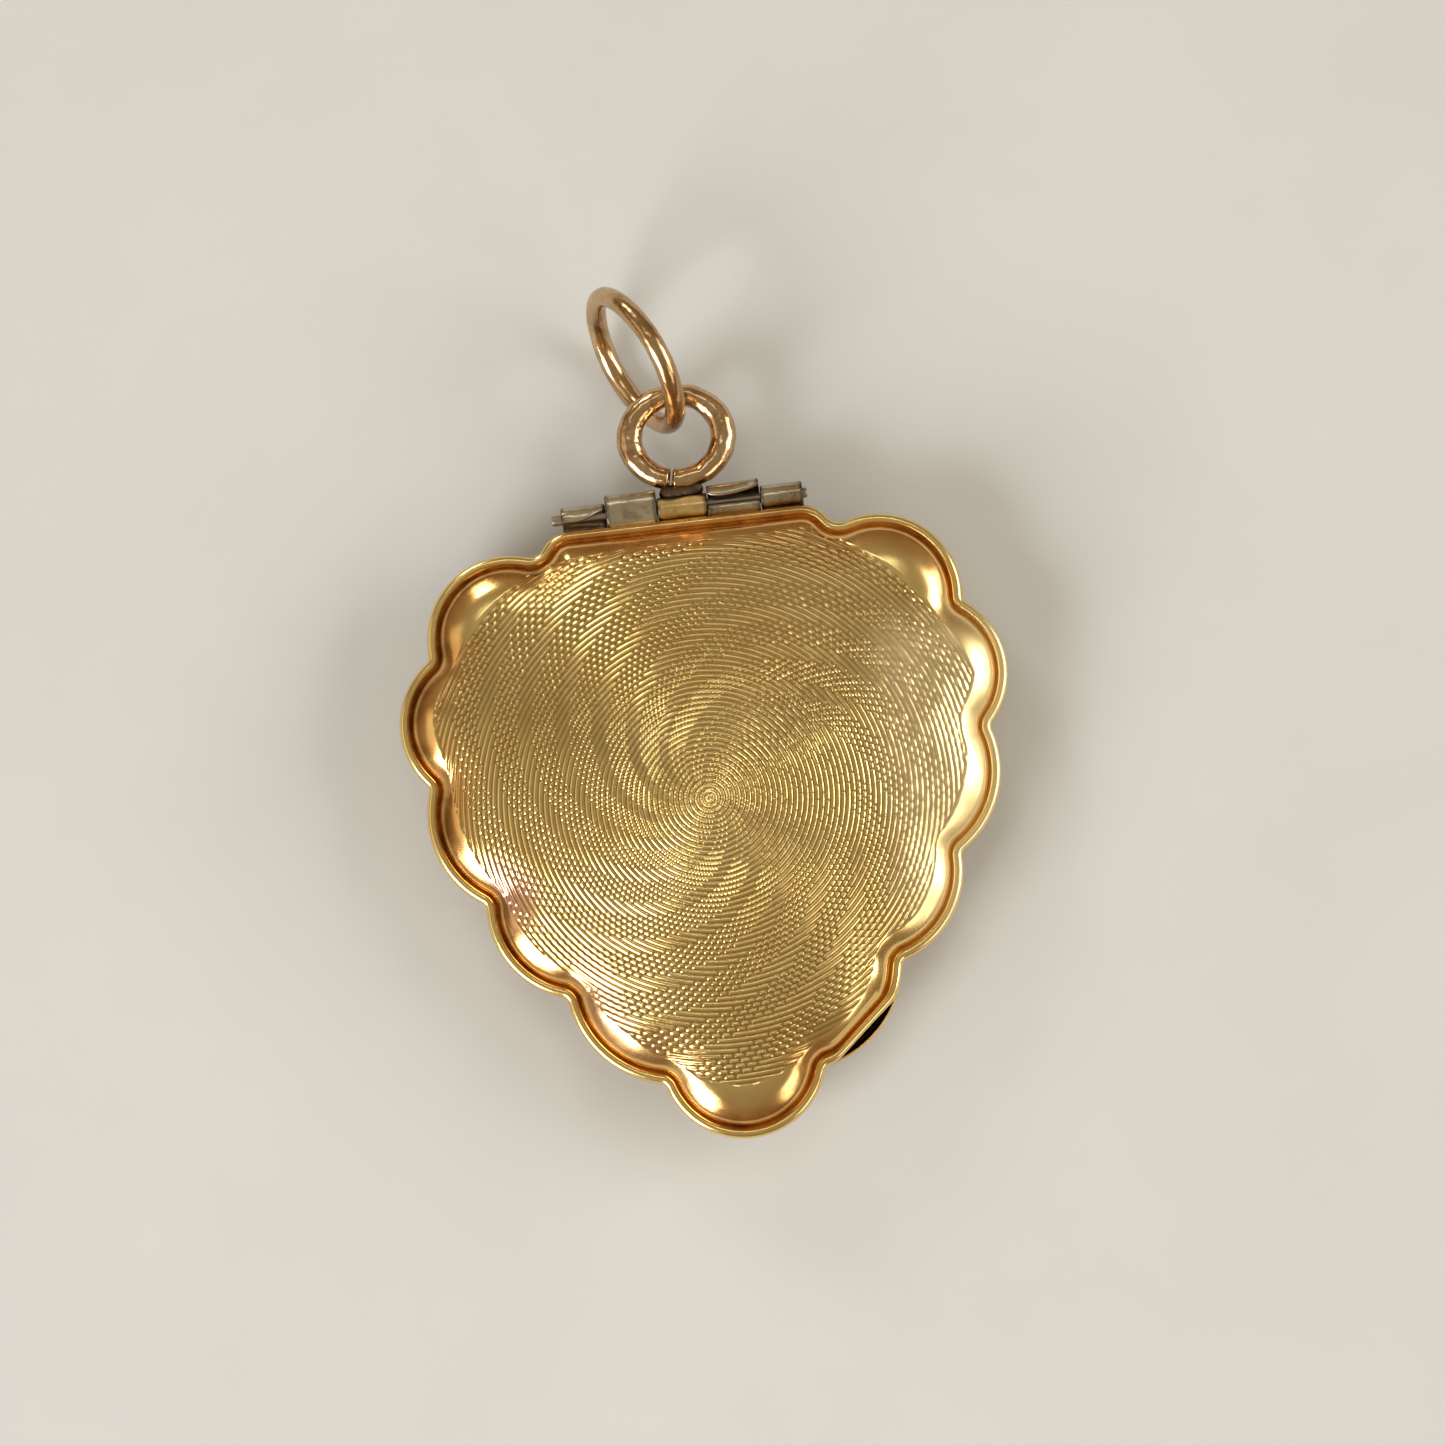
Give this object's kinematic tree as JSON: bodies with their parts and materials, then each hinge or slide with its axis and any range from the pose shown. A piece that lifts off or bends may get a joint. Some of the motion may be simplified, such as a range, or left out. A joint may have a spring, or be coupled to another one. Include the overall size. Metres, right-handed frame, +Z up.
{
  "type": "locket",
  "caption": "Scalloped heart-shaped pendant locket with an engine-turned hinged cover, inner photo frames and two suspension rings.",
  "frame": {"origin": "centre of the flat in the middle of the back, which is also under the centre of the cover's engine turning", "axes": "+Z up out of the cover as the locket lies on its back, +Y from the tip towards the hinge and rings, +X to the right seen from above"},
  "size_m": [0.0244, 0.0344, 0.0062],
  "materials": {
    "gold_case": "polished, engine turned",
    "gold_inner": "satin",
    "gold_bezel": "polished",
    "gold_barrel": "worn",
    "rose_gold": "polished, worn",
    "nickel": "tarnished",
    "steel_pin": "tarnished",
    "solder": "dull",
    "celluloid": "clear, slightly yellowed",
    "card": "matte paper"
  },
  "bodies": {
    "case": {"back_shell": "gold_case", "back_frame": "gold_inner", "snap_band": "gold_inner", "back_bezel": "gold_bezel", "back_lens": "celluloid", "back_card": "card", "hinge_pin": "steel_pin", "knuckle_1": "nickel", "knuckle_3": "gold_barrel", "knuckle_5": "nickel", "fixed_ring": "rose_gold", "ring_foot": "solder"},
    "cover": {"front_shell": "gold_case", "front_frame": "gold_inner", "front_bezel": "gold_bezel", "front_lens": "celluloid", "front_card": "card", "knuckle_2": "nickel", "knuckle_4": "nickel"},
    "loose_ring": {"jump_ring": "rose_gold"}
  },
  "joints": [
    {"name": "cover_hinge", "type": "hinge", "parent": "case", "child": "cover", "pos_m": [0, 0.0117, 0.00245], "axis": [-1, 0, 0], "range_deg": [0, 105]},
    {"name": "jump_ring_swing", "type": "hinge", "parent": "case", "child": "loose_ring", "pos_m": [-0.00045, 0.01616, 0.00245], "axis": [0.9667, 0.2558, 0], "range_deg": [-80, 20]}
  ]
}
